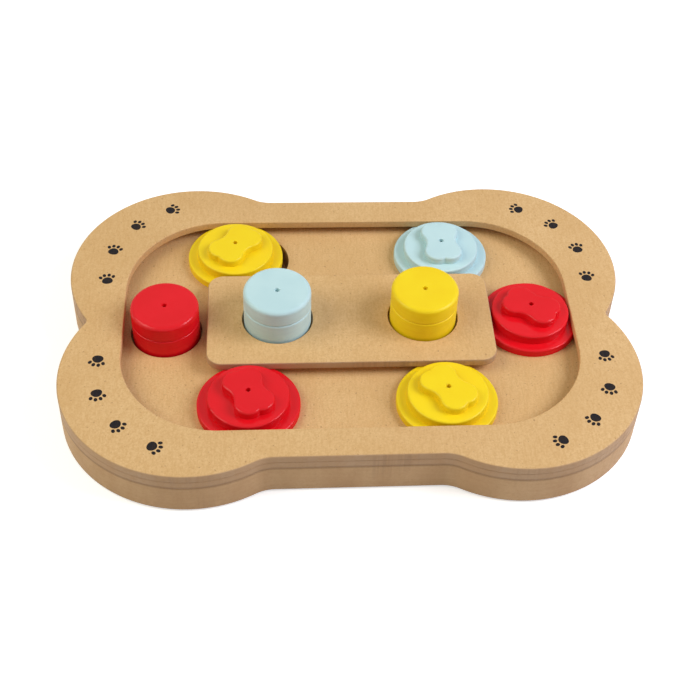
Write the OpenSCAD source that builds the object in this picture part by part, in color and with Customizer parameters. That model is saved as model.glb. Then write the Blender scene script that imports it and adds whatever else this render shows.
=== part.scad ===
// Bone-shaped dog puzzle feeder: a laminated wooden board with a loop track,
// five captive sliders over treat pockets and three lift-out pegs.
// Units are millimetres. X runs along the bone, +Z is up, and the feet stand on Z = 0.

/* [Board] */
// Length of the bone over its lobes
board_length = 310; // [290:1:340]
// Radius of each of the four round lobes
lobe_radius = 69; // [66:0.5:72]
// Distance of each lobe's centre from the long axis
lobe_offset = 39.2; // [38:0.1:42]
// How far the straight middle lies inside the lobes at each side
waist_dip = 11.3; // [8:0.1:14]
// Radius of the hollow blend between a lobe and the straight side
blend_radius = 20; // [10:1:30]
// Radius of the cutter that leaves the notch between two lobes
notch_radius = 3; // [1.5:0.5:6]

/* [Sheets] */
// Thickness of the base board that the treat pockets are cut in
base_thickness = 17; // [15:0.5:22]
// Thickness of the spacer sheet that makes room for the flanges
spacer_thickness = 5; // [4.2:0.1:7]
// Thickness of the top sheet with the rim and the island plate
top_thickness = 4.5; // [3:0.1:6]

/* [Track] */
// Length of the island plate
island_length = 156.4; // [140:0.2:162]
// Width of the island plate
island_width = 67.4; // [60:0.2:70]
// Corner radius of the island plate
island_corner = 8.5; // [7:0.5:12]
// Width of the slot between the island plate and the rim
slot_width = 45; // [43.5:0.1:46]
// How far each lip hangs over the channel
lip = 5.25; // [4.5:0.05:6]

/* [Sliders] */
// Play of the flange at each side of the channel
flange_play = 0.75; // [0.4:0.05:1]
// Play of the guide disc at each side of the slot
guide_play = 1; // [0.5:0.05:1.5]
// Height left free between a flange and the lips
flange_headroom = 0.5; // [0.3:0.05:0.8]
// Thickness of the guide disc
guide_thickness = 5.5; // [5:0.1:6.5]
// Thickness of the bone knob
knob_thickness = 4.5; // [3.5:0.1:6]
// Radius of each end lobe of the knob
knob_lobe_radius = 7.4; // [7:0.1:7.8]
// Half the length between the knob's lobe centres
knob_reach = 8.2; // [7.8:0.1:8.8]
// Half the width between the knob's lobe centres
knob_spread = 3.4; // [3:0.1:3.8]
// Half the width of the knob's waist
knob_waist = 8.8; // [8:0.1:9.2]

/* [Slider places] */
// Far left slider, from the middle line of the left run
far_left_set = 37.3; // [28:0.1:73]
// Far right slider, from the middle line of the right run
far_right_set = 45.2; // [39:0.1:73]
// Right slider, from the middle line of the far run
right_set = 52.9; // [40:0.1:73]
// Near right slider, from the middle line of the right run
near_right_set = 52.3; // [39:0.1:73]
// Near left slider, from the middle line of the left run
near_left_set = 45; // [28:0.1:73]
// Turn of the far left knob
far_left_turn = 50; // [0:1:180]
// Turn of the far right knob
far_right_turn = 93; // [0:1:180]
// Turn of the right knob
right_turn = 149; // [0:1:180]
// Turn of the near right knob
near_right_turn = 127; // [0:1:180]
// Turn of the near left knob
near_left_turn = 113; // [0:1:180]

/* [Pegs] */
// Diameter of a peg
peg_diameter = 36.6; // [34:0.2:37]
// Thickness of a peg's upper disc
peg_upper = 10; // [8:0.5:12]
// Thickness of a peg's lower disc
peg_lower = 16; // [13:0.5:18]
// Radial play of a peg in its hole
peg_play = 1; // [0.5:0.1:1.5]
// Depth of the seat that the track peg stands in
track_seat = 5.5; // [4:0.5:7]
// Distance of each island peg from its end of the island plate
peg_inset = 38.2; // [34:0.2:42]

/* [Treat pockets] */
// Diameter of a pocket under a slider
pocket_diameter = 42; // [36:1:43]
// Depth of every pocket and well in the base board
pocket_depth = 11.5; // [8:0.5:12]
// Distance of the far and near pockets from the middle line of the end runs
pocket_inset = 46.7; // [42:0.1:52]
// Diameter of the treat well under a peg
well_diameter = 30; // [24:1:32]

/* [Centre holes] */
// Diameter of the small hole in the middle of each knob and peg
centre_hole = 2.6; // [2:0.1:3.5]

/* [Feet] */
// Diameter of a non-slip foot
foot_diameter = 14; // [10:1:18]
// Thickness of a foot
foot_thickness = 2; // [1.5:0.1:2.5]
// How far a foot stands out of the underside
foot_proud = 1; // [0.6:0.1:1.2]

/* [Hidden] */
$fn = 96;
cut = 1; // overrun of a cut past the face it opens

// heights
base_bottom = foot_proud;
track_floor = base_bottom + base_thickness;
lip_underside = track_floor + spacer_thickness;
board_top = lip_underside + top_thickness;
well_floor = track_floor - pocket_depth;

// plan of the board
lobe_x = board_length / 2 - lobe_radius;
waist_y = lobe_offset + lobe_radius - waist_dip;
blend_y = waist_y + blend_radius;
blend_x = lobe_x - sqrt(pow(lobe_radius + blend_radius, 2) - pow(blend_y - lobe_offset, 2));
notch_x = lobe_x + sqrt(pow(lobe_radius + notch_radius, 2) - pow(lobe_offset, 2));

// plan of the track
rim_length = island_length + 2 * slot_width;
rim_width = island_width + 2 * slot_width;
rim_corner = island_corner + slot_width;
track_x = (island_length + slot_width) / 2;
track_y = (island_width + slot_width) / 2;
peg_spacing = island_length / 2 - peg_inset;
pocket_spacing = track_x - pocket_inset;

// sliders
flange_thickness = spacer_thickness - flange_headroom;
flange_radius = slot_width / 2 + lip - flange_play;
guide_radius = slot_width / 2 - guide_play;
guide_bottom = track_floor + flange_thickness;
knob_bottom = guide_bottom + guide_thickness;
knob_hollow = (pow(knob_reach, 2) + pow(knob_waist - knob_spread, 2) - pow(knob_lobe_radius, 2))
              / (2 * (knob_lobe_radius - (knob_waist - knob_spread)));
flange_edge = 0.6;
guide_edge = 0.9;

// pegs
peg_radius = peg_diameter / 2;
peg_crown = 1.8;
peg_groove = 0.8;
peg_hole_radius = peg_radius + peg_play;

// slider places
far_left_x = far_left_set - track_x;
far_right_x = track_x - far_right_set;
right_y = track_y - right_set;
near_right_x = track_x - near_right_set;
near_left_x = near_left_set - track_x;

// ---- plans ----

// Rounded rectangle about the origin.
module rounded(length, width, radius) {
    square([length, width - 2 * radius], center = true);
    square([length - 2 * radius, width], center = true);
    for (sx = [-1, 1], sy = [-1, 1])
        translate([sx * (length / 2 - radius), sy * (width / 2 - radius)]) circle(radius);
}

// Outline of the bone: four lobes, hollow blends to the straight sides and a notch at each end.
module bone_outline() {
    for (sx = [-1, 1], sy = [-1, 1])
        translate([sx * lobe_x, sy * lobe_offset]) circle(lobe_radius);
    difference() {
        polygon([
            [lobe_x, lobe_offset], [blend_x, blend_y], [-blend_x, blend_y], [-lobe_x, lobe_offset],
            [-notch_x, 0],
            [-lobe_x, -lobe_offset], [-blend_x, -blend_y], [blend_x, -blend_y], [lobe_x, -lobe_offset],
            [notch_x, 0]
        ]);
        for (s = [-1, 1]) {
            translate([-blend_x, s > 0 ? waist_y : -blend_y - cut])
                square([2 * blend_x, blend_radius + cut]);
            translate([s * notch_x, 0]) circle(notch_radius);
            for (t = [-1, 1]) translate([s * blend_x, t * blend_y]) circle(blend_radius);
        }
    }
}

// Outline of a knob: a small bone with its waist hollowed by two arcs.
module knob_outline() {
    for (sx = [-1, 1], sy = [-1, 1])
        translate([sx * knob_reach, sy * knob_spread]) circle(knob_lobe_radius);
    difference() {
        polygon([
            [knob_reach, knob_spread], [0, knob_waist + knob_hollow], [-knob_reach, knob_spread],
            [-knob_reach, -knob_spread], [0, -knob_waist - knob_hollow], [knob_reach, -knob_spread]
        ]);
        for (s = [-1, 1]) translate([0, s * (knob_waist + knob_hollow)]) circle(knob_hollow);
    }
}

// ---- turned discs ----

// Disc on the XY plane with a rounded top edge, a bevelled bottom edge and a hole down its axis.
module turned_disc(radius, height, crown, bevel, hole) {
    rotate_extrude() difference() {
        union() {
            square([radius - crown, height]);
            square([radius, height - crown]);
            translate([radius - crown, height - crown]) circle(crown);
        }
        if (hole > 0) translate([-cut, -cut]) square([hole / 2 + cut, height + 2 * cut]);
        if (bevel > 0)
            polygon([[radius - bevel - cut, -cut], [radius + cut, -cut], [radius + cut, bevel + cut]]);
    }
}

// ---- places ----

module at_far_left() { translate([far_left_x, track_y, 0]) children(); }
module at_far_right() { translate([far_right_x, track_y, 0]) children(); }
module at_right() { translate([track_x, right_y, 0]) children(); }
module at_near_right() { translate([near_right_x, -track_y, 0]) children(); }
module at_near_left() { translate([near_left_x, -track_y, 0]) children(); }
module at_island_left() { translate([-peg_spacing, 0, lip_underside]) children(); }
module at_island_right() { translate([peg_spacing, 0, lip_underside]) children(); }
module at_track_peg() { translate([-track_x, 0, track_floor - track_seat]) children(); }

// Each treat pocket's middle in the track.
pocket_places = [
    [-pocket_spacing, track_y], [pocket_spacing, track_y], [track_x, 0],
    [pocket_spacing, -track_y], [-pocket_spacing, -track_y]
];

// ---- board ----

module base_board() color("burlywood") difference() {
    translate([0, 0, base_bottom]) linear_extrude(base_thickness) bone_outline();
    for (p = pocket_places)
        translate([p[0], p[1], well_floor]) cylinder(d = pocket_diameter, h = pocket_depth + cut);
    for (x = [-peg_spacing, peg_spacing, -track_x])
        translate([x, 0, well_floor]) cylinder(d = well_diameter, h = pocket_depth + cut);
    translate([-track_x, 0, track_floor - track_seat]) cylinder(r = peg_hole_radius, h = track_seat + cut);
    for (sx = [-1, 1], sy = [-1, 1])
        translate([sx * lobe_x, sy * lobe_offset, base_bottom - cut])
            cylinder(d = foot_diameter, h = foot_thickness - foot_proud + cut);
}

module spacer_ring() color("burlywood") translate([0, 0, track_floor]) linear_extrude(spacer_thickness)
    difference() {
        bone_outline();
        rounded(rim_length + 2 * lip, rim_width + 2 * lip, rim_corner + lip);
    }

module spacer_island() color("burlywood") translate([0, 0, track_floor]) linear_extrude(spacer_thickness)
    difference() {
        rounded(island_length - 2 * lip, island_width - 2 * lip, island_corner - lip);
        for (s = [-1, 1]) translate([s * peg_spacing, 0]) circle(d = well_diameter);
    }

module rim_ring() color("tan") translate([0, 0, lip_underside]) linear_extrude(top_thickness)
    difference() {
        bone_outline();
        rounded(rim_length, rim_width, rim_corner);
    }

module island_plate() color("tan") translate([0, 0, lip_underside]) linear_extrude(top_thickness)
    difference() {
        rounded(island_length, island_width, island_corner);
        for (s = [-1, 1]) translate([s * peg_spacing, 0]) circle(peg_hole_radius);
    }

module foot(sx, sy) color("dimgray")
    translate([sx * lobe_x, sy * lobe_offset, 0]) cylinder(d = foot_diameter, h = foot_thickness);

module foot_far_left() { foot(-1, 1); }
module foot_far_right() { foot(1, 1); }
module foot_near_left() { foot(-1, -1); }
module foot_near_right() { foot(1, -1); }

// ---- sliders ----

module flange(paint) color(paint)
    translate([0, 0, track_floor]) turned_disc(flange_radius, flange_thickness, flange_edge, 0, 0);

module guide(paint) color(paint)
    translate([0, 0, guide_bottom]) turned_disc(guide_radius, guide_thickness, guide_edge, 0, centre_hole);

module knob(paint, turn) color(paint) translate([0, 0, knob_bottom]) linear_extrude(knob_thickness)
    difference() {
        rotate(turn) knob_outline();
        circle(d = centre_hole);
    }

module slider_far_left_flange() { at_far_left() flange("gold"); }
module slider_far_left_guide() { at_far_left() guide("gold"); }
module slider_far_left_knob() { at_far_left() knob("gold", far_left_turn); }

module slider_far_right_flange() { at_far_right() flange("powderblue"); }
module slider_far_right_guide() { at_far_right() guide("powderblue"); }
module slider_far_right_knob() { at_far_right() knob("powderblue", far_right_turn); }

module slider_right_flange() { at_right() flange("crimson"); }
module slider_right_guide() { at_right() guide("crimson"); }
module slider_right_knob() { at_right() knob("crimson", right_turn); }

module slider_near_right_flange() { at_near_right() flange("gold"); }
module slider_near_right_guide() { at_near_right() guide("gold"); }
module slider_near_right_knob() { at_near_right() knob("gold", near_right_turn); }

module slider_near_left_flange() { at_near_left() flange("crimson"); }
module slider_near_left_guide() { at_near_left() guide("crimson"); }
module slider_near_left_knob() { at_near_left() knob("crimson", near_left_turn); }

// ---- pegs ----

module peg_lower_disc(paint) color(paint) turned_disc(peg_radius, peg_lower, peg_groove, peg_groove, 0);

module peg_upper_disc(paint) color(paint)
    translate([0, 0, peg_lower]) turned_disc(peg_radius, peg_upper, peg_crown, peg_groove, centre_hole);

module peg_island_left_lower() { at_island_left() peg_lower_disc("powderblue"); }
module peg_island_left_upper() { at_island_left() peg_upper_disc("powderblue"); }
module peg_island_right_lower() { at_island_right() peg_lower_disc("gold"); }
module peg_island_right_upper() { at_island_right() peg_upper_disc("gold"); }
module peg_track_lower() { at_track_peg() peg_lower_disc("crimson"); }
module peg_track_upper() { at_track_peg() peg_upper_disc("crimson"); }

base_board();
spacer_ring();
spacer_island();
rim_ring();
island_plate();
foot_far_left();
foot_far_right();
foot_near_left();
foot_near_right();
slider_far_left_flange();
slider_far_left_guide();
slider_far_left_knob();
slider_far_right_flange();
slider_far_right_guide();
slider_far_right_knob();
slider_right_flange();
slider_right_guide();
slider_right_knob();
slider_near_right_flange();
slider_near_right_guide();
slider_near_right_knob();
slider_near_left_flange();
slider_near_left_guide();
slider_near_left_knob();
peg_island_left_lower();
peg_island_left_upper();
peg_island_right_lower();
peg_island_right_upper();
peg_track_lower();
peg_track_upper();
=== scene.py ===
"""Dresses the bone-shaped puzzle feeder: fibreboard sheets, painted sliders and pegs, feet and paw prints."""

import logging
import math
from dataclasses import dataclass
from enum import Enum
from typing import Iterable, Sequence

import bmesh
import bpy
from bpy.types import Material, Node, NodeTree, Object
from mathutils import Matrix, Vector


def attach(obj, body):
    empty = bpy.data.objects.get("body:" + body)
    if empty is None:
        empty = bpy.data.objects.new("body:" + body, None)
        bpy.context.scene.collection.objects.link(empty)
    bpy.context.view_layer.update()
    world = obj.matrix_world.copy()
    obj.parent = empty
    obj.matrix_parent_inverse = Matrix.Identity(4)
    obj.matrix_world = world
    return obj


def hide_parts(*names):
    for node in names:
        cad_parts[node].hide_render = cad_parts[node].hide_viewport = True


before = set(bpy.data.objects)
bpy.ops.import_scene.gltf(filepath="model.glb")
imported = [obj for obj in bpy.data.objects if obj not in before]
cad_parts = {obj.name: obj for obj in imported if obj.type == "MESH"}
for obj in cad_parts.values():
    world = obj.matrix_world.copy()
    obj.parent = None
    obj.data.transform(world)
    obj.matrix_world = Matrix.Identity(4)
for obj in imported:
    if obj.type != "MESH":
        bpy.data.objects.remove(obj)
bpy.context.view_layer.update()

LOG = logging.getLogger("puzzle_feeder")
MM = 0.001
CUT_EDGE = "cut_edge"  # mesh attribute: 1 on sawn and routed walls, 0 on a sheet's face
SMOOTH_UP_TO = math.radians(38)
LONGEST_TURN = math.radians(7)  # between two stations of an arc
QUARTER = math.pi / 2
CURVE_CHORD = 1.6  # longest step along a large curve, in millimetres
LAND = 0.35  # flat strip beside a rounded edge, in millimetres
WHITE = (1.0, 1.0, 1.0, 1.0)
QUADRANTS = [(sx, sy) for sx in (-1, 1) for sy in (-1, 1)]
LOBES = (("far_left", -1, 1), ("far_right", 1, 1), ("near_left", -1, -1), ("near_right", 1, -1))

Point = tuple[float, float]
Triple = tuple[float, float, float]
Colour = tuple[float, float, float, float]
Station = tuple[float, float, float, float]  # x, y and the outward normal there
Outline = list[Station]
Step = tuple[float, float, float]  # offset along the normal, height, cut-edge mask
Ring = list[bmesh.types.BMVert]
Socket = bpy.types.NodeSocket


# ---- outlines


def arc(
    centre: Point, radius: float, start: float, end: float, chord: float, hollow: bool = False
) -> Outline:
    """Stations along a circular arc, in millimetres.

    Args:
        centre: Middle of the circle.
        radius: Radius of the circle.
        start: First angle in radians.
        end: Last angle in radians.
        chord: Longest step along the arc.
        hollow: True where the solid lies outside the circle, so normals point inwards.

    Returns:
        The stations from start to end, both included.
    """
    turn = end - start
    count = max(3, math.ceil(abs(turn) * radius / chord), math.ceil(abs(turn) / LONGEST_TURN))
    side = -1 if hollow else 1
    stations = []
    for i in range(count + 1):
        c, s = math.cos(start + turn * i / count), math.sin(start + turn * i / count)
        stations.append((centre[0] + radius * c, centre[1] + radius * s, side * c, side * s))
    return stations


def mirrored_round(quarter: Outline) -> Outline:
    """Completes a quarter outline, from the +X axis to the +Y axis, with no station twice."""
    half = quarter + [(-x, y, -nx, ny) for x, y, nx, ny in reversed(quarter)][1:]
    return half[:-1] + [(-x, -y, -nx, -ny) for x, y, nx, ny in half][:-1]


def circle(centre: Point, radius: float, count: int = 96) -> Outline:
    """Closed circle as an outline, counter-clockwise."""
    ways = [(math.cos(a), math.sin(a)) for a in (2 * math.pi * i / count for i in range(count))]
    return [(centre[0] + radius * c, centre[1] + radius * s, c, s) for c, s in ways]


def rounded_rectangle(length: float, width: float, corner: float, chord: float = CURVE_CHORD) -> Outline:
    """Rectangle with round corners about the origin, counter-clockwise."""
    corner_arc = arc((length / 2 - corner, width / 2 - corner), corner, 0, QUARTER, chord)
    return mirrored_round([(length / 2, 0.0, 1.0, 0.0)] + corner_arc + [(0.0, width / 2, 0.0, 1.0)])


def turned(outline: Outline, degrees: float, centre: Point) -> Outline:
    """Turns an outline about the origin and then moves it.

    Args:
        outline: The outline to place.
        degrees: Turn, counter-clockwise.
        centre: Where its origin goes.

    Returns:
        The placed outline.
    """
    c, s = math.cos(math.radians(degrees)), math.sin(math.radians(degrees))
    return [
        (centre[0] + c * x - s * y, centre[1] + s * x + c * y, c * nx - s * ny, s * nx + c * ny)
        for x, y, nx, ny in outline
    ]


def bone_quarter(
    lobe: Point, radius: float, notch_radius: float, blend: Point, blend_radius: float, chords: Triple
) -> Outline:
    """First quadrant of a bone: end notch, lobe and hollow blend, from the +X axis on.

    Args:
        lobe: Middle of the lobe.
        radius: Radius of the lobe.
        notch_radius: Radius of the hollow between two lobes.
        blend: Middle of the blend's circle.
        blend_radius: Radius of the blend.
        chords: Longest step along each of the three arcs.

    Returns:
        The stations up to the waist.
    """
    notch = (lobe[0] + math.sqrt((radius + notch_radius) ** 2 - lobe[1] ** 2), 0.0)
    to_lobe = math.atan2(lobe[1], lobe[0] - notch[0])
    to_blend = math.atan2(blend[1] - lobe[1], blend[0] - lobe[0])
    quarter = arc(notch, notch_radius, math.pi, to_lobe, chords[0], hollow=True)
    quarter += arc(lobe, radius, to_lobe - math.pi, to_blend, chords[1])[1:]
    return quarter + arc(blend, blend_radius, to_blend - math.pi, -QUARTER, chords[2], hollow=True)[1:]


def quarter_turn(facets: int) -> list[float]:
    """Angles from 0 to a right angle in even steps."""
    return [QUARTER * i / facets for i in range(facets + 1)]


def eased_edge(
    level: float, ease: float, side: int, turns: Iterable[float], upper: bool, sawn: float = 1.0
) -> list[Step]:
    """Steps round an edge of a wall, upwards: from the bottom face to the wall, or from it to the top face.

    Args:
        level: Height of the face.
        ease: Radius of the edge.
        side: -1 where the edge draws in, as on an outer wall, and 1 where it spreads.
        turns: Angles of the steps.
        upper: True for the edge at the top face.
        sawn: Cut-edge mask on the wall itself.

    Returns:
        Offset, height and mask of each ring.
    """
    steps = []
    for a in turns:
        wall, face = (math.cos(a), math.sin(a)) if upper else (math.sin(a), math.cos(a))
        rise = -ease if upper else ease
        steps.append((side * ease * (1 - wall), level + rise * (1 - face), sawn * wall))
    return steps


def eased_wall(span: Point, eases: Point, side: int, facets: int = 5, sawn: float = 1.0) -> list[Step]:
    """Steps of a wall whose two edges are rounded, from the bottom face to the top face.

    Args:
        span: Heights of the bottom face and the top face.
        eases: Radius of the lower edge and of the upper one.
        side: -1 for an outer wall, whose edges draw in, and 1 for the wall of an opening.
        facets: Faces round each edge.
        sawn: Cut-edge mask on the wall itself, lower where the wall's colour is painted lighter as painted
            light.

    Returns:
        Offset, height and mask of each ring.
    """
    (bottom, top), (low_ease, top_ease), turns = span, eases, quarter_turn(facets)
    steps = [(side * (low_ease + LAND), bottom, 0.0)]
    steps += eased_edge(bottom, low_ease, side, turns, False, sawn)
    steps += eased_edge(top, top_ease, side, turns, True, sawn)
    return steps + [(side * (top_ease + LAND), top, 0.0)]


# ---- meshes


def linked(name: str, data: bpy.types.ID) -> Object:
    """Makes an object and links it to the scene.

    Args:
        name: Name of the object.
        data: Its mesh, lamp or camera.

    Returns:
        The object.
    """
    item = bpy.data.objects.new(name, data)
    bpy.context.scene.collection.objects.link(item)
    return item


class Shell:
    """Collects rings of vertices and the faces between them, and turns them into one closed mesh."""

    def __init__(self) -> None:
        """Starts an empty shell."""
        self.mesh = bmesh.new()
        self.mask = self.mesh.verts.layers.float.new(CUT_EDGE)

    def ring(self, outline: Outline, offset: float, height: float, mask: float) -> Ring:
        """Adds one closed ring.

        Args:
            outline: The stations it follows.
            offset: Distance along the stations' normals.
            height: Height of the ring.
            mask: Cut-edge mask of its vertices.

        Returns:
            The ring's vertices.
        """
        verts = []
        for x, y, nx, ny in outline:
            vert = self.mesh.verts.new(((x + nx * offset) * MM, (y + ny * offset) * MM, height * MM))
            vert[self.mask] = mask
            verts.append(vert)
        return verts

    def join(self, lower: Ring, upper: Ring) -> None:
        """Bridges two rings with four-sided faces.

        Args:
            lower: One ring.
            upper: The other ring, of the same count.
        """
        for i in range(len(lower)):
            j = (i + 1) % len(lower)
            self.mesh.faces.new((lower[i], lower[j], upper[j], upper[i]))

    def wall(self, outline: Outline, steps: Iterable[Step]) -> tuple[Ring, Ring]:
        """Builds a wall of rings along an outline.

        Args:
            outline: The stations that it follows.
            steps: Offset, height and mask of each ring, in order.

        Returns:
            The first and the last ring.
        """
        rings = [self.ring(outline, *step) for step in steps]
        for lower, upper in zip(rings, rings[1:]):
            self.join(lower, upper)
        return rings[0], rings[-1]

    def fill(self, *loops: Ring) -> None:
        """Closes a flat face.

        Args:
            loops: The outer ring and the rings of any holes.
        """
        edges = []
        for loop in loops:
            for pair in zip(loop, loop[1:] + loop[:1]):
                edges.append(self.mesh.edges.get(pair) or self.mesh.edges.new(pair))
        bmesh.ops.triangle_fill(self.mesh, use_beauty=True, edges=edges, normal=(0, 0, 1))

    def disc(self, loop: Ring) -> None:
        """Closes a round floor with one face."""
        self.mesh.faces.new(loop)

    def finish(self, name: str, material: Material) -> Object:
        """Makes the object.

        Args:
            name: Name of the piece.
            material: Its finish.

        Returns:
            The object, at the origin and unturned.
        """
        bmesh.ops.recalc_face_normals(self.mesh, faces=self.mesh.faces)
        data = bpy.data.meshes.new(name)
        self.mesh.to_mesh(data)
        self.mesh.free()
        data.shade_smooth()
        data.set_sharp_from_angle(angle=SMOOTH_UP_TO)
        data.materials.append(material)
        return linked(name, data)


def settle(piece: Object, body: str, slot: str, *nodes: str) -> None:
    """Parents a finished piece to its body and hides the CAD nodes that it stands for.

    Args:
        piece: The piece.
        body: CAD body that it moves with.
        slot: Material slot of the record; not used.
        nodes: CAD nodes that it replaces.
    """
    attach(piece, body)
    if nodes:
        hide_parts(*nodes)
    LOG.info("%s: %d faces on %s", piece.name, len(piece.data.polygons), body)


# ---- shader nodes


class Wiring:
    """A node tree with short calls to add nodes and join them."""

    def __init__(self, tree: NodeTree) -> None:
        """Keeps the tree that the calls work on."""
        self.tree = tree

    def feed(self, node: Node, values: dict) -> None:
        """Sets inputs of a node.

        Args:
            node: The node.
            values: Input name or index to a value, or to a socket that is linked to it.
        """
        for key, value in values.items():
            if isinstance(value, Socket):
                self.tree.links.new(value, node.inputs[key])
            else:
                node.inputs[key].default_value = value

    def add(self, kind: str, values: dict | None = None, **settings: object) -> Node:
        """Adds a node.

        Args:
            kind: Blender's name of the node type.
            values: Its inputs, as feed takes them.
            settings: Properties of the node itself.

        Returns:
            The node.
        """
        node = self.tree.nodes.new(kind)
        for key, value in settings.items():
            setattr(node, key, value)
        self.feed(node, values or {})
        return node

    def out(self, kind: str, values: dict | None = None, **settings: object) -> Socket:
        """Adds a node as add does; returns its first output."""
        return self.add(kind, values, **settings).outputs[0]

    def math(self, operation: str, first: object, second: object = 0.0, clamp: bool = False) -> Socket:
        """One step of arithmetic."""
        return self.out("ShaderNodeMath", {0: first, 1: second}, operation=operation, use_clamp=clamp)

    def times(self, first: object, second: object) -> Socket:
        """Product of two values."""
        return self.math("MULTIPLY", first, second)

    def vector(self, x: object = 0.0, y: object = 0.0, z: object = 0.0) -> Socket:
        """Joins three values."""
        return self.out("ShaderNodeCombineXYZ", {0: x, 1: y, 2: z})

    def blend(self, factor: object, first: object, second: object) -> Socket:
        """Mixes two colours."""
        return self.add("ShaderNodeMix", {"Factor": factor, 6: first, 7: second}, data_type="RGBA").outputs[2]

    def tint(self, base: object, colour: object, mask: Socket, share: float) -> Socket:
        """Lays a colour over a base by a share of a mask."""
        return self.blend(self.times(mask, share), base, colour)

    def spread(
        self, value: object, low: float, high: float, to_low: float = 0.0, to_high: float = 1.0
    ) -> Socket:
        """Maps a value smoothly from one range to another."""
        values = {"Value": value, "From Min": low, "From Max": high, "To Min": to_low, "To Max": to_high}
        return self.out("ShaderNodeMapRange", values, interpolation_type="SMOOTHSTEP")

    def noise(self, vector: object, scale: float, detail: float = 4.0, rough: float = 0.55) -> Socket:
        """Noise texture."""
        values = {"Vector": vector, "Scale": scale, "Detail": detail, "Roughness": rough}
        return self.add("ShaderNodeTexNoise", values).outputs["Fac"]

    def stretched(self, vector: object, scale: Triple, turn: float = 0.0) -> Socket:
        """Scales and turns texture coordinates."""
        return self.out("ShaderNodeMapping", {"Vector": vector, "Scale": scale, "Rotation": (0.0, 0.0, turn)})

    def cut_edge(self) -> Socket:
        """The mask of sawn and routed walls."""
        return self.add("ShaderNodeAttribute", attribute_name=CUT_EDGE).outputs["Fac"]

    def group(self, tree: NodeTree, place: Socket, number: float) -> Sequence[Socket]:
        """Uses a group of new_group; returns its outputs."""
        return self.add("ShaderNodeGroup", {0: place, 1: number}, node_tree=tree).outputs

    def surface(self, values: dict, relief: Socket, strength: float, depth: float) -> None:
        """Feeds the Principled BSDF, with a bump whose depth is in millimetres."""
        bump = self.out("ShaderNodeBump", {"Strength": strength, "Distance": depth * MM, "Height": relief})
        self.feed(self.tree.nodes["Principled BSDF"], values | {"Normal": bump})


def new_group(name: str, number: str, results: Sequence[str]) -> tuple[Wiring, Sequence[Socket], Node]:
    """Starts a shader node group that takes a vector and a number.

    Args:
        name: Name of the group.
        number: Name of its number input.
        results: Names of its outputs.

    Returns:
        Its wiring, its two input sockets and its output node.
    """
    tree = bpy.data.node_groups.new(name, "ShaderNodeTree")
    tree.interface.new_socket(name="Vector", in_out="INPUT", socket_type="NodeSocketVector")
    tree.interface.new_socket(name=number, in_out="INPUT", socket_type="NodeSocketFloat")
    for result in results:
        tree.interface.new_socket(name=result, in_out="OUTPUT", socket_type="NodeSocketFloat")
    wiring = Wiring(tree)
    return wiring, wiring.add("NodeGroupInput").outputs, wiring.add("NodeGroupOutput")


def fibre_group() -> NodeTree:
    """Pressed wood fibre: short matted fibres, tufts, dark specks and soft clouds.

    Returns:
        A group with the outputs Fibre, Tuft, Speck, Cloud and Relief, each from 0 to 1.
    """
    w, source, sink = new_group("pressed_fibre", "Fibre size", ("Fibre", "Tuft", "Speck", "Cloud", "Relief"))
    scaled = w.out("ShaderNodeVectorMath", {0: source[0], 3: source[1]}, operation="SCALE")
    strands = [
        w.noise(w.stretched(scaled, (1.0, 0.22, 1.0), turn), scale=620.0, detail=3.0, rough=0.6)
        for turn in (0.2, 1.25, 2.3)
    ]
    matted = w.math("MAXIMUM", w.math("MAXIMUM", strands[0], strands[1]), strands[2])
    fibre = w.spread(matted, 0.48, 0.72)
    tuft = w.spread(w.noise(scaled, scale=1000.0, detail=3.0, rough=0.65), 0.38, 0.66)
    speck = w.spread(w.noise(scaled, scale=620.0, detail=2.0, rough=0.5), 0.66, 0.73)
    cloud = w.spread(w.noise(source[0], scale=26.0, detail=3.0, rough=0.5), 0.3, 0.7)
    relief = w.math("SUBTRACT", fibre, w.times(speck, 0.6))
    w.feed(sink, dict(enumerate((fibre, tuft, speck, cloud, relief))))
    return w.tree


def brush_group() -> NodeTree:
    """Sprayed paint: slight orange peel, soft tone drift and fine handling marks.

    Returns:
        A group with the outputs Drift, Peel and Scuff, each from 0 to 1.
    """
    w, source, sink = new_group("sprayed_paint", "Scuffs", ("Drift", "Peel", "Scuff"))
    vector = source[0]
    drift = w.spread(w.noise(vector, scale=45.0, detail=2.0), 0.3, 0.7)
    coarse, fine = (w.noise(vector, scale=scale, detail=2.0) for scale in (420.0, 1500.0))
    peel = w.math("ADD", w.times(coarse, 0.7), w.times(fine, 0.3))
    streak = w.noise(w.stretched(vector, (1.0, 0.06, 1.0), 0.7), scale=900.0, detail=2.0, rough=0.7)
    patch = w.spread(w.noise(vector, scale=60.0, detail=2.0), 0.48, 0.72)
    scuff = w.times(w.times(w.spread(streak, 0.6, 0.75), patch), source[1])
    w.feed(sink, dict(enumerate((drift, peel, scuff))))
    return w.tree


def new_material(name: str) -> tuple[Material, Wiring, Socket]:
    """Starts a node material.

    Args:
        name: Name of the material.

    Returns:
        The material, its wiring and the object coordinates.
    """
    material = bpy.data.materials.new(name)
    material.use_nodes = True
    wiring = Wiring(material.node_tree)
    return material, wiring, wiring.add("ShaderNodeTexCoord").outputs["Object"]


def srgb(*display: int) -> Colour:
    """Turns the red, green and blue of an 8-bit display into a linear colour with alpha 1."""
    shares = (value / 255 for value in display)
    return (*(c / 12.92 if c <= 0.04045 else ((c + 0.055) / 1.055) ** 2.4 for c in shares), 1.0)


# ---- finishes


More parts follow.
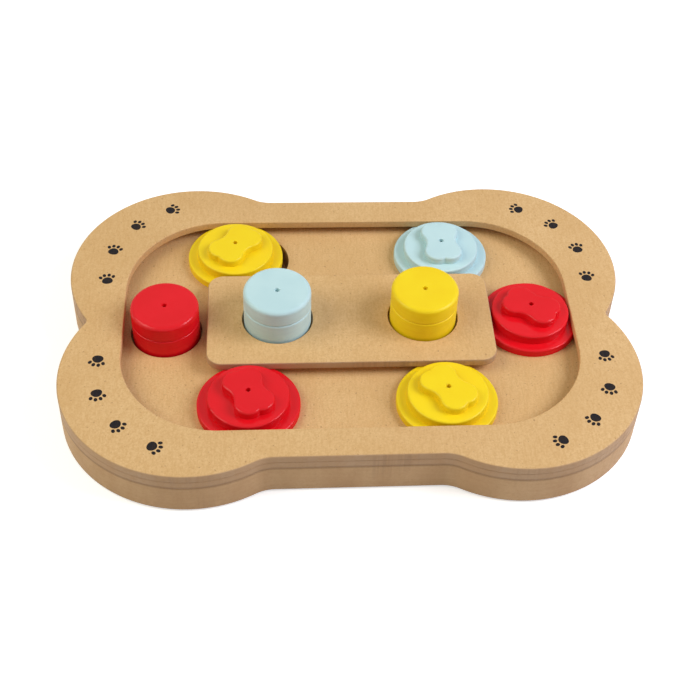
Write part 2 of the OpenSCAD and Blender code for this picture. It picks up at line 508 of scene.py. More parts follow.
@dataclass(frozen=True)
class FibreboardFinish:
    """Bare medium-density fibreboard: tan faces and browner sawn edges with glue lines, and a painted contact
    shadow along the bottom edge.
    """

    name: str = "fibreboard"
    face: Colour = srgb(226, 188, 134)
    face_dark: Colour = srgb(202, 159, 101)
    speck: Colour = srgb(172, 130, 84)
    edge: Colour = srgb(204, 167, 124)
    edge_dark: Colour = srgb(180, 140, 98)
    upper_edge: Colour = srgb(190, 157, 124)
    # dark brown of the glue lines and saw streaks; also the colour of the painted contact shadow line along
    # the bottom edge
    glue_and_shadow_line: Colour = srgb(104, 74, 52)
    face_marks: tuple = (("Cloud", 0.35), ("Tuft", 0.55), ("Fibre", 0.4))  # output of the fibre group, share
    speck_share: float = 0.7
    layer_share: float = 0.22
    mottle_share: float = 0.6
    edge_fibre_share: float = 0.25
    streak_share: float = 0.22
    roughness: float = 0.62
    fibre_roughness: float = 0.14
    specular: float = 0.3
    base_top: float = 18.0
    # the first line, at 1 mm, is a painted contact shadow where the board meets the floor; the others are
    # glue joints
    seams_and_shadow_line: tuple = ((1.0, 0.9, 0.9), (18.3, 1.5, 0.42), (23.0, 0.8, 0.16))  # height, half width, strength
    seam_core: float = 0.1

    def material(self, fibre: NodeTree) -> Material:
        """Builds the material.

        Args:
            fibre: The pressed fibre group.

        Returns:
            The finished material.
        """
        material, w, place = new_material(self.name)
        grain = w.group(fibre, place, 1.0)
        face = self.face
        for mark, share in self.face_marks:
            face = w.tint(face, self.face_dark, grain[mark], share)
        face = w.tint(face, self.speck, grain["Speck"], self.speck_share)
        layers = w.noise(w.stretched(place, (0.05, 0.05, 1.0)), scale=900.0, detail=2.0, rough=0.5)
        mask = w.cut_edge()
        colour = w.blend(w.spread(mask, 0.25, 0.9), face, self.sawn_edge(w, place, grain["Fibre"], layers))
        rough = w.spread(grain["Fibre"], 0.0, 1.0, self.roughness, self.roughness + self.fibre_roughness)
        relief = w.math("ADD", grain["Relief"], w.times(w.times(layers, mask), 0.6))
        values = {"Base Color": colour, "Roughness": rough, "Specular IOR Level": self.specular}
        w.surface(values, relief, strength=0.35, depth=0.12)
        return material

    def sawn_edge(self, w: Wiring, place: Socket, fibre: Socket, layers: Socket) -> Socket:
        """Colour of the sawn edges: pressed layers, mottle, upright saw marks, glue lines and a painted
        contact shadow line along the bottom edge.

        Args:
            w: Wiring of the material.
            place: Object coordinates.
            fibre: Matted fibres.
            layers: Noise drawn out along the sheets.

        Returns:
            Socket of the colour.
        """
        height = w.add("ShaderNodeSeparateXYZ", {0: place}).outputs["Z"]
        above = w.spread(height, self.base_top * MM, (self.base_top + 1.0) * MM)
        mottle = w.noise(w.stretched(place, (1.0, 1.0, 0.3)), scale=60.0, detail=3.0, rough=0.5)
        edge = w.blend(above, self.edge, self.upper_edge)
        edge = w.tint(edge, self.edge_dark, w.spread(layers, 0.35, 0.7), self.layer_share)
        edge = w.tint(edge, self.edge_dark, w.spread(mottle, 0.3, 0.7), self.mottle_share)
        edge = w.tint(edge, self.edge_dark, fibre, self.edge_fibre_share)
        saw = w.noise(w.stretched(place, (1.0, 1.0, 0.03)), scale=480.0, detail=2.0, rough=0.6)
        burnt = w.spread(w.noise(place, scale=16.0, detail=1.0, rough=0.4), 0.46, 0.66)
        edge = w.tint(edge, self.glue_and_shadow_line, w.times(w.spread(saw, 0.45, 0.68), burnt), self.streak_share)
        # glue lines, and at 1 mm a painted contact shadow along the bottom edge
        for level, half_width, strength in self.seams_and_shadow_line:
            gap = w.math("ABSOLUTE", w.math("SUBTRACT", height, level * MM))
            line = w.spread(gap, self.seam_core * MM, half_width * MM, strength, 0.0)
            edge = w.blend(line, edge, self.glue_and_shadow_line)
        return edge


@dataclass(frozen=True)
class PaintFinish:
    """Sprayed paint over sanded fibreboard."""

    name: str
    slot: str
    colour: Colour
    shade: Colour
    roughness: float
    gloss: float
    coat: float
    coat_roughness: float
    drift_share: float = 0.35
    speck_share: float = 0.12
    ring_share: float = 0.3
    scuffs: float = 0.5

    def material(self, brush: NodeTree, fibre: NodeTree) -> Material:
        """Builds the material.

        Args:
            brush: The sprayed paint group.
            fibre: The pressed fibre group, which shows faintly through the paint.

        Returns:
            The finished material.
        """
        material, w, place = new_material(self.name)
        paint = w.group(brush, place, self.scuffs)
        grain = w.group(fibre, place, 1.0)
        rings = w.noise(w.stretched(place, (0.04, 0.04, 1.0)), scale=1300.0, detail=2.0, rough=0.6)
        ringed = w.times(w.spread(rings, 0.4, 0.65), w.cut_edge())
        colour = w.tint(self.colour, self.shade, paint["Drift"], self.drift_share)
        colour = w.tint(colour, self.shade, grain["Speck"], self.speck_share)
        colour = w.tint(colour, self.shade, ringed, self.ring_share)
        rough = w.math("ADD", self.roughness, w.times(paint["Scuff"], 0.25))
        rough = w.math("ADD", rough, w.times(paint["Drift"], 0.05))
        relief = w.math("ADD", paint["Peel"], w.times(grain["Relief"], 0.25))
        relief = w.math("ADD", relief, w.times(ringed, 0.8))
        values = {"Base Color": colour, "Roughness": rough, "Specular IOR Level": self.gloss}
        coat = {"Coat Weight": self.coat, "Coat Roughness": self.coat_roughness}
        w.surface(values | coat, relief, strength=0.22, depth=0.12)
        return material


class Paint(Enum):
    """The three colours of the moving pieces."""

    RED = PaintFinish(
        "gloss_red", "paint_red", srgb(232, 22, 34), srgb(216, 14, 22),
        roughness=0.4, gloss=0.0, coat=0.42, coat_roughness=0.16,
    )
    YELLOW = PaintFinish(
        "satin_yellow", "paint_yellow", srgb(249, 219, 26), srgb(240, 198, 14),
        roughness=0.4, gloss=0.2, coat=0.1, coat_roughness=0.2,
    )
    BLUE = PaintFinish(
        "satin_light_blue", "paint_blue", srgb(198, 228, 230), srgb(178, 212, 218),
        roughness=0.42, gloss=0.2, coat=0.1, coat_roughness=0.22,
    )


@dataclass(frozen=True)
class InkFinish:
    """Stamped ink that sinks into the board a little."""

    name: str = "stamped_ink"
    ink: Colour = srgb(26, 25, 29)
    thin: Colour = srgb(60, 44, 32)
    thin_share: float = 0.5
    specular: float = 0.12

    def material(self, fibre: NodeTree) -> Material:
        """Builds the material.

        Args:
            fibre: The pressed fibre group.

        Returns:
            The finished material.
        """
        material, w, place = new_material(self.name)
        grain = w.group(fibre, place, 1.0)
        colour = w.tint(self.ink, self.thin, grain["Fibre"], self.thin_share)
        rough = w.spread(grain["Speck"], 0.0, 1.0, 0.6, 0.85)
        values = {"Base Color": colour, "Roughness": rough, "Specular IOR Level": self.specular}
        w.surface(values, grain["Relief"], strength=0.3, depth=0.1)
        return material


@dataclass(frozen=True)
class RubberFinish:
    """Matt dark rubber of the non-slip feet."""

    name: str = "matt_rubber"
    dark: Colour = srgb(40, 40, 42)
    dusty: Colour = srgb(78, 76, 72)
    dust_share: float = 0.5

    def material(self) -> Material:
        """Builds the material.

        Returns:
            The finished material.
        """
        material, w, place = new_material(self.name)
        dust = w.spread(w.noise(place, scale=240.0, detail=5.0, rough=0.65), 0.5, 0.75)
        colour = w.tint(self.dark, self.dusty, dust, self.dust_share)
        values = {"Base Color": colour, "Roughness": w.spread(dust, 0.0, 1.0, 0.72, 0.92)}
        w.surface(values, w.noise(place, scale=2600.0, detail=3.0), strength=0.4, depth=0.2)
        return material


@dataclass
class Palette:
    """Every finish of the object, built once."""

    fibreboard: Material
    ink: Material
    rubber: Material
    paints: dict[Paint, Material]

    @classmethod
    def mixed(cls) -> "Palette":
        """Builds the groups and materials.

        Returns:
            The palette.
        """
        fibre, brush = fibre_group(), brush_group()
        paints = {paint: paint.value.material(brush, fibre) for paint in Paint}
        board, ink, rubber = FibreboardFinish(), InkFinish(), RubberFinish()
        return cls(board.material(fibre), ink.material(fibre), rubber.material(), paints)


# ---- board


@dataclass
class Board:
    """The laminated bone: base board, spacer, rim and island, in millimetres."""

    palette: Palette
    length: float = 310.0
    lobe_radius: float = 69.0
    lobe_offset: float = 39.2
    waist_dip: float = 11.3
    blend_radius: float = 20.0
    notch_radius: float = 3.0
    base_bottom: float = 1.0
    track_floor: float = 18.0
    lip_underside: float = 23.0
    top: float = 27.5
    island_length: float = 156.4
    island_width: float = 67.4
    island_corner: float = 8.5
    slot_width: float = 45.0
    lip: float = 5.25
    peg_hole: float = 19.3
    peg_spacing: float = 40.0
    peg_seat: float = 12.5
    well_floor: float = 6.5
    well_radius: float = 15.0
    pocket_radius: float = 21.0
    pocket_spacing: float = 54.0
    foot_radius: float = 7.0
    foot_recess: float = 2.0
    underside_ease: float = 0.6
    rim_ease: float = 0.9
    island_ease: float = 0.7
    hole_ease: float = 0.4
    seam_ease: float = 0.22
    well_ease: float = 1.2
    mouth_ease: float = 0.35
    inner_land: float = 0.4
    waist_steps: int = 24

    WELL_TURNS = (0.0, 0.39, 0.79, 1.18, QUARTER)
    MOUTH_TURNS = (0.0, 0.52, 1.05, QUARTER)
    FOOT_SECTION = (
        (3.6, 0.25), (4.3, 0.12), (4.9, 0.02), (5.3, 0.0), (6.2, 0.0), (6.5, 0.04),
        (6.75, 0.15), (6.92, 0.33), (7.0, 0.55), (7.0, 1.7), (6.9, 2.0),
    )  # radius and height

    @property
    def lobe_x(self) -> float:
        """Distance of the lobes' centres from the middle."""
        return self.length / 2 - self.lobe_radius

    @property
    def track_x(self) -> float:
        """Middle line of the end runs."""
        return (self.island_length + self.slot_width) / 2

    @property
    def track_y(self) -> float:
        """Middle line of the long runs."""
        return (self.island_width + self.slot_width) / 2

    def bone(self) -> Outline:
        """Outline of the board: lobes, hollow blends, straight sides and end notches.

        Returns:
            The closed outline, counter-clockwise.
        """
        lobe = (self.lobe_x, self.lobe_offset)
        waist = self.lobe_offset + self.lobe_radius - self.waist_dip
        blend_y = waist + self.blend_radius
        reach = self.lobe_radius + self.blend_radius
        blend = (lobe[0] - math.sqrt(reach**2 - (blend_y - lobe[1]) ** 2), blend_y)
        chords = (0.4, CURVE_CHORD, CURVE_CHORD)
        quarter = bone_quarter(lobe, self.lobe_radius, self.notch_radius, blend, self.blend_radius, chords)
        shares = [i / self.waist_steps for i in range(1, self.waist_steps + 1)]
        return mirrored_round(quarter + [(blend[0] * (1 - share), waist, 0.0, 1.0) for share in shares])

    def opening(self, lip: float) -> Outline:
        """Outline of the rim's opening.

        Args:
            lip: How much wider than the rim's opening it is.

        Returns:
            The closed outline, counter-clockwise.
        """
        length = self.island_length + 2 * self.slot_width + 2 * lip
        width = self.island_width + 2 * self.slot_width + 2 * lip
        return rounded_rectangle(length, width, self.island_corner + self.slot_width + lip)

    def well(self, shell: Shell, place: Point, radius: float, top: float) -> Ring:
        """Cuts a round well with a soft bottom corner.

        Args:
            shell: Shell of the board.
            place: Middle of the well.
            radius: Radius of the well.
            top: Height of the face that it opens in.

        Returns:
            The ring at its mouth.
        """
        steps = [(-self.well_ease - self.inner_land, self.well_floor, 0.0)]
        steps += eased_edge(self.well_floor, self.well_ease, -1, self.WELL_TURNS, False)
        steps += eased_edge(top, self.mouth_ease, 1, self.MOUTH_TURNS, True)
        steps.append((self.mouth_ease + LAND, top, 0.0))
        first, last = shell.wall(circle(place, radius), steps)
        shell.disc(first)
        return last

    def track_socket(self, shell: Shell) -> Ring:
        """Cuts the seat of the track peg with its treat well.

        Args:
            shell: Shell of the board.

        Returns:
            The ring at its mouth.
        """
        place = (-self.track_x, 0.0)
        mouth = self.well(shell, place, self.well_radius, self.peg_seat)
        steps = [(-self.inner_land, self.peg_seat, 0.0), (0.0, self.peg_seat, 1.0)]
        steps += eased_edge(self.track_floor, self.mouth_ease, 1, self.MOUTH_TURNS, True)
        steps.append((self.mouth_ease + LAND, self.track_floor, 0.0))
        low, high = shell.wall(circle(place, self.peg_hole), steps)
        shell.join(mouth, low)
        return high

    def base_board(self) -> None:
        """Thick base with the treat pockets, the wells and the feet's recesses."""
        shell = Shell()
        heights, eases = (self.base_bottom, self.track_floor), (self.underside_ease, self.seam_ease)
        under, over = shell.wall(self.bone(), eased_wall(heights, eases, -1))
        pockets = [(sx * self.pocket_spacing, sy * self.track_y) for sx, sy in QUADRANTS]
        pockets.append((self.track_x, 0.0))
        mouths = [self.well(shell, spot, self.pocket_radius, self.track_floor) for spot in pockets]
        for x in (-self.peg_spacing, self.peg_spacing):
            mouths.append(self.well(shell, (x, 0.0), self.well_radius, self.track_floor))
        shell.fill(over, *mouths, self.track_socket(shell))
        recess = [(0.3, self.base_bottom, 0.0), (0.0, self.base_bottom, 1.0), (0.0, self.foot_recess, 1.0)]
        lows = []
        for sx, sy in QUADRANTS:
            foot = circle((sx * self.lobe_x, sy * self.lobe_offset), self.foot_radius, 64)
            low, high = shell.wall(foot, recess)
            shell.disc(high)
            lows.append(low)
        shell.fill(under, *lows)
        settle(shell.finish("base_board_sheet", self.palette.fibreboard), "board", "wood_board", "base_board")

    def ring_sheet(self, node: str, heights: Point, lip: float, ease: float, sawn: float) -> None:
        """Bone-shaped sheet with the large opening.

        Args:
            node: CAD node that it stands for.
            heights: Heights of its underside and its top.
            lip: How much wider than the rim's opening its own opening is.
            ease: Radius of its top edges.
            sawn: Cut-edge mask of its opening's wall.
        """
        shell = Shell()
        low, high = shell.wall(self.bone(), eased_wall(heights, (self.seam_ease, ease), -1))
        inner = eased_wall(heights, (self.seam_ease, ease * 0.7), 1, sawn=sawn)
        inner_low, inner_high = shell.wall(self.opening(lip), inner)
        shell.fill(high, inner_high)
        shell.fill(low, inner_low)
        settle(shell.finish(node + "_sheet", self.palette.fibreboard), "board", "wood_board", node)

    def island_sheet(self) -> None:
        """Island plate with the two peg holes."""
        shell = Shell()
        heights = (self.lip_underside, self.top)
        island = rounded_rectangle(self.island_length, self.island_width, self.island_corner, 0.6)
        rings = [shell.wall(island, eased_wall(heights, (self.seam_ease, self.island_ease), -1))]
        hole_wall = eased_wall(heights, (self.seam_ease, self.hole_ease), 1)
        for x in (-self.peg_spacing, self.peg_spacing):
            rings.append(shell.wall(circle((x, 0.0), self.peg_hole, 128), hole_wall))
        lows, highs = zip(*rings)
        shell.fill(*highs)
        shell.fill(*lows)
        piece = shell.finish("island_plate_sheet", self.palette.fibreboard)
        settle(piece, "board", "wood_board", "island_plate")

    def build(self) -> None:
        """Builds every sheet and foot of the board, and dresses the hidden spacer."""
        self.base_board()
        self.ring_sheet("spacer_ring", (self.track_floor, self.lip_underside), self.lip, self.seam_ease, 1.0)
        # the rim's opening wall takes half the sawn-edge colour: painted light, lighter where a lit wall
        # looks lighter
        self.ring_sheet("rim_ring", (self.lip_underside, self.top), 0.0, self.rim_ease, 0.5)
        self.island_sheet()
        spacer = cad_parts["spacer_island"]
        for material_slot in spacer.material_slots:
            material_slot.material = self.palette.fibreboard
        LOG.info("%s: CAD mesh dressed", spacer.name)
        for name, sx, sy in LOBES:
            node, place = "foot_" + name, (sx * self.lobe_x, sy * self.lobe_offset)
            pad = lathe(node + "_pad", self.FOOT_SECTION, place, self.palette.rubber, closed=False, count=72)
            settle(pad, "board", "rubber_foot", node)


# ---- turned pieces


WALL_BAND = 0.3  # what lies this close to the largest radius counts as the outer wall, in millimetres
RIM_LAND = 0.5  # flat strip beside a disc's rounded rim
RIM_BELT = 0.2  # straight strip of wall next to each rounded rim
BORE_MOUTH = ((0.6, 0.0), (0.25, 0.0), (0.07, 0.07), (0.0, 0.25))  # out from the bore, down from the top


def lathe(
    name: str,
    section: Sequence[Point],
    place: Point,
    material: Material,
    closed: bool = True,
    count: int = 144,
) -> Object:
    """Turns a half section round a vertical axis.

    Args:
        name: Name of the piece.
        section: Radius and height of each point, in millimetres.
        place: Where the axis stands.
        material: Finish of the piece.
        closed: True where the section is a closed loop round a bore, False where flat discs close its ends.
        count: Faces round the axis.

    Returns:
        The piece.
    """
    shell = Shell()
    wall = max(radius for radius, _ in section) - WALL_BAND
    rings = []
    for radius, height in section:
        rings.append(shell.ring(circle(place, radius, count), 0.0, height, float(radius > wall)))
    for lower, upper in zip(rings, rings[1:]):
        shell.join(lower, upper)
    if closed:
        shell.join(rings[-1], rings[0])
    else:
        shell.disc(rings[0])
        shell.disc(rings[-1])
    return shell.finish(name, material)


def disc_section(radius: float, heights: Point, bore: float, eases: Point) -> list[Point]:
    """Half section of a disc with two rounded rims, and a bore where it has one.

    Args:
        radius: Outer radius.
        heights: Heights of its underside and its top.
        bore: Radius of the centre hole, or 0 for a solid disc.
        eases: Radius of the lower rim and of the upper one.

    Returns:
        The section, from the underside round the outside to the top, closed along any bore.
    """
    (bottom, top), (low, high) = heights, eases
    section = [(bore, bottom)] if bore else []
    section.append((radius - low - RIM_LAND, bottom))
    lower = eased_edge(bottom, low, -1, quarter_turn(4), False)
    upper = eased_edge(top, high, -1, quarter_turn(8), True)
    belt = [(0.0, bottom + low + RIM_BELT, 1.0), (0.0, top - high - RIM_BELT, 1.0)]
    section += [(radius + offset, height) for offset, height, _ in lower + belt + upper]
    section.append((radius - high - RIM_LAND, top))
    if bore:
        section += [(bore + out, top - down) for out, down in BORE_MOUTH]
    return section


@dataclass(frozen=True)
class KnobShape:
    """Small bone that the dog pushes: its plan, edges and centre hole."""

    lobe: float = 7.4
    reach: float = 8.2
    spread: float = 3.4
    waist: float = 8.8
    cleft: float = 1.0
    eases: Point = (0.12, 1.2)
    hole_eases: Point = (0.05, 0.25)

    def outline(self) -> Outline:
        """Outline of the knob, whose waist is a hollow tangent to both lobes.

        Returns:
            The closed outline about the knob's own middle.
        """
        drop = self.waist - self.spread
        hollow = (self.reach**2 + drop**2 - self.lobe**2) / (2 * (self.lobe - drop))
        centre, side = (self.reach, self.spread), (0.0, self.waist + hollow)
        return mirrored_round(bone_quarter(centre, self.lobe, self.cleft, side, hollow, (0.3, 0.5, 0.5)))


@dataclass
class Slider:
    """Captive slider: flange under the lips, guide disc in the slot and bone knob."""

    name: str
    place: Point
    knob_turn: float
    paint: Paint
    flange_radius: float = 27.0
    guide_radius: float = 21.5
    flange_eases: Point = (0.3, 0.9)
    guide_eases: Point = (0.15, 1.0)
    bottom: float = 18.0
    guide_bottom: float = 22.5
    knob_bottom: float = 28.0
    knob_top: float = 32.5
    centre_hole: float = 1.3

    def build(self, palette: Palette, knob: KnobShape) -> None:
        """Builds the three discs of the slider.

        Args:
            palette: Finishes.
            knob: Shape of the knob.
        """
        material, slot = palette.paints[self.paint], self.paint.value.slot
        body = "slider_" + self.name
        flange = disc_section(self.flange_radius, (self.bottom, self.guide_bottom), 0.0, self.flange_eases)
        piece = lathe(body + "_flange_disc", flange, self.place, material, closed=False)
        settle(piece, body, slot, body + "_flange")
        heights = (self.guide_bottom, self.knob_bottom)
        guide = disc_section(self.guide_radius, heights, self.centre_hole, self.guide_eases)
        settle(lathe(body + "_guide_disc", guide, self.place, material), body, slot, body + "_guide")
        shell = Shell()
        heights = (self.knob_bottom, self.knob_top)
        outline = turned(knob.outline(), self.knob_turn, self.place)
        low, high = shell.wall(outline, eased_wall(heights, knob.eases, -1, 7))
        bore = circle(self.place, self.centre_hole, 32)
        bore_low, bore_high = shell.wall(bore, eased_wall(heights, knob.hole_eases, 1, 3))
        shell.fill(high, bore_high)
        shell.fill(low, bore_low)
        settle(shell.finish(body + "_knob_bone", material), body, slot, body + "_knob")


@dataclass
class Peg:
    """Lift-out peg: two turned discs with a groove between them."""

    name: str
    place: Point
    bottom: float
    paint: Paint
    radius: float = 18.3
    lower: float = 16.0
    upper: float = 10.0
    groove: float = 1.0
    crown: float = 2.1
    centre_hole: float = 1.3

    def build(self, palette: Palette) -> None:
        """Builds the two discs of the peg.

        Args:
            palette: Finishes.
        """
        material, slot = palette.paints[self.paint], self.paint.value.slot
        body, middle = "peg_" + self.name, self.bottom + self.lower
        lower = disc_section(self.radius, (self.bottom, middle), 0.0, (self.groove, self.groove))
        piece = lathe(body + "_lower_disc", lower, self.place, material, closed=False)
        settle(piece, body, slot, body + "_lower")
        heights = (middle, middle + self.upper)
        upper = disc_section(self.radius, heights, self.centre_hole, (self.groove, self.crown))
        settle(lathe(body + "_upper_disc", upper, self.place, material), body, slot, body + "_upper")


# ---- paw prints


class PawTrail:
    """Stamped paw prints that walk round a lobe, scattered by Geometry Nodes."""

    SIZES = {
        "Path radius": 56.0,
        "First angle": -8.9,
        "Stride": 24.7,
        "Prints": 4,
        "Pad width": 6.0,
        "Pad length": 5.3,
        "Toe reach": 4.5,
        "Toe width": 1.95,
        "Toe length": 2.45,
        "Toe fan": 102.0,
        "Ink thickness": 0.03,
    }  # millimetres and degrees
    CENTRE = (80.4, 38.35)  # middle of the prints' arc on the first-quadrant lobe
    SLIP = (1.17, 0.1)  # the stamp sits a little off the board's middle, in millimetres
    SKEW = math.radians(-0.5)
    TOES = 4
    TOE_TWIST = 0.45  # share of its lean that a toe turns by

    def __init__(self, ink: Material, top: float) -> None:
        """Builds the shared node tree.

        Args:
            ink: Finish of the prints.
            top: Height of the rim's face.
        """
        self.ink, self.top = ink, top
        self.tree = bpy.data.node_groups.new("paw_trail", "GeometryNodeTree")
        self.w = Wiring(self.tree)
        self.grow_tree()

    def polar(self, angle: Socket, radius: Socket, height: object = 0.0) -> Socket:
        """Point at an angle and a radius."""
        w = self.w
        return w.vector(*(w.times(w.math(wave, angle), radius) for wave in ("COSINE", "SINE")), height)

    def scattered(self, count: object, spots: Socket, shape: Socket, turn: Socket) -> Socket:
        """Sets instances of a shape on spots.

        Args:
            count: Number of instances.
            spots: Place of each.
            shape: Geometry of the shape.
            turn: Turn of each about Z, in radians.

        Returns:
            Socket of the instances.
        """
        line = self.w.out("GeometryNodeMeshLine", {"Count": count}, mode="OFFSET")
        points = self.w.out("GeometryNodeSetPosition", {"Geometry": line, "Position": spots})
        values = {"Points": points, "Instance": shape, "Rotation": self.w.vector(z=turn)}
        return self.w.out("GeometryNodeInstanceOnPoints", values)

    def slab(self, part: str, vertices: int, thickness: float) -> tuple[Socket, Socket]:
        """Thin round slab of ink and the size that it is scaled to.

        Args:
            part: Pad or Toe.
            vertices: Stations round the slab.
            thickness: Share of the ink's thickness.

        Returns:
            Sockets of a slab of size 1 and of its scale.
        """
        w, size = self.w, self.size
        shape = w.out("GeometryNodeMeshCylinder", {"Vertices": vertices, "Radius": 0.5, "Depth": 1.0})
        spans = (w.times(size[part + " length"], MM), w.times(size[part + " width"], MM))
        return shape, w.vector(*spans, w.times(size["Ink thickness"], thickness * MM))

    def pad(self, half_up: Socket) -> Socket:
        """Heel pad: a circle pulled into three soft lobes, as a thin closed slab.

        Args:
            half_up: Half the ink's thickness in metres.

        Returns:
            Socket of the pad's geometry.
        """
        w = self.w
        shape, scale = self.slab("Pad", 48, 1.0)
        place = w.add("ShaderNodeSeparateXYZ", {0: w.out("GeometryNodeInputPosition")}).outputs
        wave = w.math("COSINE", w.times(w.math("ARCTAN2", place["Y"], place["X"]), 3.0))
        swell = w.math("ADD", w.times(wave, 0.035), 0.985)
        spot = w.vector(w.times(place["X"], swell), w.times(place["Y"], swell), place["Z"])
        lobed = w.out("GeometryNodeSetPosition", {"Geometry": shape, "Position": spot})
        values = {"Geometry": lobed, "Scale": scale, "Translation": w.vector(z=half_up)}
        return w.out("GeometryNodeTransform", values)

    def grow_tree(self) -> None:
        """Builds the tree: pad and toes, instanced at even strides along an arc."""
        w = self.w
        interface = self.tree.interface
        interface.new_socket(name="Geometry", in_out="OUTPUT", socket_type="NodeSocketGeometry")
        for name, value in self.SIZES.items():
            kind = "NodeSocketInt" if isinstance(value, int) else "NodeSocketFloat"
            interface.new_socket(name=name, in_out="INPUT", socket_type=kind)
        interface.new_socket(name="Middle", in_out="INPUT", socket_type="NodeSocketVector")
        size = self.size = w.add("NodeGroupInput").outputs
        degree = math.radians(1)
        index = w.out("GeometryNodeInputIndex")
        half_up = w.times(size["Ink thickness"], 0.5 * MM)
        toe, toe_scale = self.slab("Toe", 20, 0.9)
        toe = w.out("GeometryNodeTransform", {"Geometry": toe, "Scale": toe_scale})
        centred = w.math("SUBTRACT", w.math("DIVIDE", index, self.TOES - 1.0), 0.5)
        lean = w.times(centred, w.times(size["Toe fan"], degree))
        toe_spots = self.polar(lean, w.times(size["Toe reach"], MM), half_up)
        paw = w.add("GeometryNodeJoinGeometry")
        w.feed(paw, {0: self.pad(half_up)})
        w.feed(paw, {0: self.scattered(self.TOES, toe_spots, toe, w.times(lean, self.TOE_TWIST))})
        angle = w.times(w.math("ADD", w.times(index, size["Stride"]), size["First angle"]), degree)
        spots = self.polar(angle, w.times(size["Path radius"], MM))
        facing = w.math("ADD", angle, QUARTER)
        prints = self.scattered(size["Prints"], spots, paw.outputs[0], facing)
        moved = w.out("GeometryNodeTransform", {"Geometry": prints, "Translation": size["Middle"]})
        real = w.out("GeometryNodeRealizeInstances", {"Geometry": moved})
        inked = w.out("GeometryNodeSetMaterial", {"Geometry": real, "Material": self.ink})
        w.add("NodeGroupOutput", {0: inked})

    def stamp(self, name: str, sx: int, sy: int) -> None:
        """Stamps the trail of one lobe.

        Args:
            name: Name of the lobe.
            sx: Side of the lobe along X.
            sy: Side of the lobe along Y.
        """
        carrier = linked("trail_" + name, bpy.data.meshes.new("trail_" + name))
        modifier = carrier.modifiers.new("paw_trail", "NODES")
        modifier.node_group = self.tree
        values = self.SIZES | {"Middle": (self.CENTRE[0] * MM, self.CENTRE[1] * MM, self.top * MM)}
        for item in self.tree.interface.items_tree:
            if item.in_out == "INPUT":
                modifier[item.identifier] = values[item.name]
        bpy.context.view_layer.update()
        data = bpy.data.meshes.new_from_object(carrier.evaluated_get(bpy.context.evaluated_depsgraph_get()))
        bpy.data.objects.remove(carrier)
        data.name = "paw_prints_" + name
        slip, skew = Vector((*self.SLIP, 0.0)) * MM, Matrix.Rotation(self.SKEW, 4, "Z")
        data.transform(Matrix.Translation(slip) @ skew @ Matrix.Diagonal((sx, sy, 1, 1)))
        if sx * sy < 0:
            data.flip_normals()
        settle(linked(data.name, data), "board", "wood_board")


# ---- studio


@dataclass(frozen=True)
class Viewpoint:
    """Camera fitted to the photograph: angles in degrees, lengths in millimetres and image pixels."""

    azimuth: float = -6.79
    elevation: float = 45.36
    roll: float = 4.02
    distance: float = 758.9
    focal: float = 1340.3
    aim: Triple = (20.75, 14.26, 14.0)
    shift: Point = (35.0, -35.0)
    frame_size: float = 700.0
    sensor: float = 36.0

    def place(self) -> None:
        """Creates the camera and makes it the scene's."""
        a, e, r = (math.radians(v) for v in (self.azimuth, self.elevation, self.roll))
        back = Vector((math.sin(a) * math.cos(e), -math.cos(a) * math.cos(e), math.sin(e)))
        right = Vector((math.cos(a), math.sin(a), 0.0))
        up = back.cross(right)
        rolled_right = right * math.cos(r) + up * math.sin(r)
        rolled_up = up * math.cos(r) - right * math.sin(r)
        data = bpy.data.cameras.new("photo_camera")
        data.sensor_width = self.sensor
        data.lens = self.focal * self.sensor / self.frame_size
        data.shift_x = -self.shift[0] / self.frame_size
        data.shift_y = self.shift[1] / self.frame_size
        data.clip_start, data.clip_end = 0.01, 20.0
        camera = linked("photo_camera", data)
        turn = Matrix((rolled_right, rolled_up, back)).transposed().to_4x4()
        camera.matrix_world = Matrix.Translation((Vector(self.aim) + back * self.distance) * MM) @ turn
        bpy.context.scene.camera = camera


@dataclass(frozen=True)
class SoftBox:
    """Square lamp that faces the object: lengths in metres, power in watts."""

    name: str
    place: Triple
    size: float
    power: float
    colour: Triple

    def hang(self) -> None:
        """Creates the lamp."""
        data = bpy.data.lights.new(self.name, "AREA")
        data.energy, data.size, data.color = self.power, self.size, self.colour
        lamp = linked(self.name, data)
        lamp.location = self.place
        lamp.rotation_euler = (-Vector(self.place)).to_track_quat("-Z", "Y").to_euler()


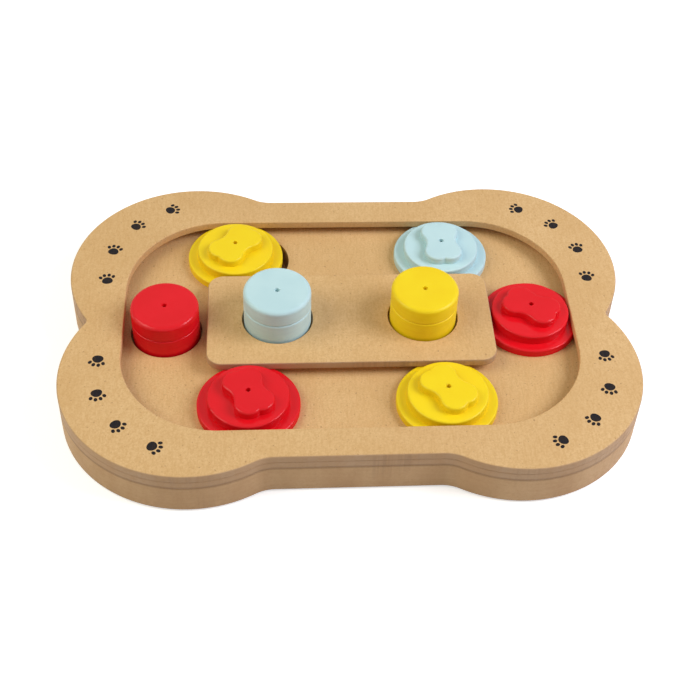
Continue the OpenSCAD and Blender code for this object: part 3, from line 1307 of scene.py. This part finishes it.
@dataclass(frozen=True)
class Studio:
    """White floor, soft boxes and a pale surround."""

    surround: float = 0.28
    floor_glow: float = 0.5
    floor_half: float = 6.0
    floor_colour: Colour = (0.86, 0.86, 0.86, 1.0)
    lamps: tuple[SoftBox, ...] = (
        SoftBox("right_soft_box", (0.86, -0.12, 0.78), 0.6, 8.8, (1.0, 1.01, 1.14)),
        SoftBox("left_soft_box", (-0.82, -0.08, 0.82), 0.8, 6.5, (1.0, 0.98, 0.82)),
    )

    @staticmethod
    def seen(w: Wiring) -> Socket:
        """Tells rays that show the background: from the camera, from gloss and through glass.

        Args:
            w: Wiring of the material or the world.

        Returns:
            Socket of 1 for such rays and 0 for the rest.
        """
        rays = w.add("ShaderNodeLightPath").outputs
        direct = w.math("ADD", rays["Is Camera Ray"], rays["Is Glossy Ray"])
        return w.math("ADD", direct, rays["Is Transmission Ray"], clamp=True)

    def floor(self) -> None:
        """White sweep that keeps the object's soft shadow."""
        data = bpy.data.meshes.new("studio_floor")
        half = self.floor_half
        corners = [(-half, -half, 0), (half, -half, 0), (half, half, 0), (-half, half, 0)]
        data.from_pydata(corners, [], [(0, 1, 2, 3)])
        material = bpy.data.materials.new("white_sweep")
        material.use_nodes = True
        w = Wiring(material.node_tree)
        values = {"Base Color": self.floor_colour, "Roughness": 0.9, "Specular IOR Level": 0.1}
        glow = {"Emission Color": WHITE, "Emission Strength": w.times(self.seen(w), self.floor_glow)}
        w.feed(material.node_tree.nodes["Principled BSDF"], values | glow)
        data.materials.append(material)
        linked("studio_floor", data)

    def build(self) -> None:
        """Builds the floor, the surround and the lamps."""
        self.floor()
        world = bpy.data.worlds.new("studio_surround")
        bpy.context.scene.world = world
        world.use_nodes = True
        w = Wiring(world.node_tree)
        values = {"Factor": self.seen(w), 2: self.surround, 3: 1.0}
        strength = w.out("ShaderNodeMix", values, data_type="FLOAT")
        w.feed(world.node_tree.nodes["Background"], {"Color": WHITE, "Strength": strength})
        for lamp in self.lamps:
            lamp.hang()
        bpy.context.scene.view_settings.view_transform = "Standard"


# ---- all


def main() -> None:
    """Builds and dresses the object, piece by piece, then the studio and the camera."""
    logging.basicConfig(level=logging.INFO, format="%(name)s: %(message)s")
    palette = Palette.mixed()
    board = Board(palette)
    board.build()
    knob = KnobShape()
    for slider in (
        Slider("far_left", (-63.4, 56.2), 50, Paint.YELLOW),
        Slider("far_right", (55.5, 56.2), 93, Paint.BLUE),
        Slider("right", (100.7, 3.3), 149, Paint.RED),
        Slider("near_right", (48.4, -56.2), 127, Paint.YELLOW),
        Slider("near_left", (-55.7, -56.2), 113, Paint.RED),
    ):
        slider.build(palette, knob)
    for peg in (
        Peg("island_left", (-board.peg_spacing, 0.0), board.lip_underside, Paint.BLUE),
        Peg("island_right", (board.peg_spacing, 0.0), board.lip_underside, Paint.YELLOW),
        Peg("track", (-board.track_x, 0.0), board.peg_seat, Paint.RED),
    ):
        peg.build(palette)
    trail = PawTrail(palette.ink, board.top)
    for name, sx, sy in LOBES:
        trail.stamp(name, sx, sy)
    Studio().build()
    Viewpoint().place()


if __name__ == "__main__":
    main()
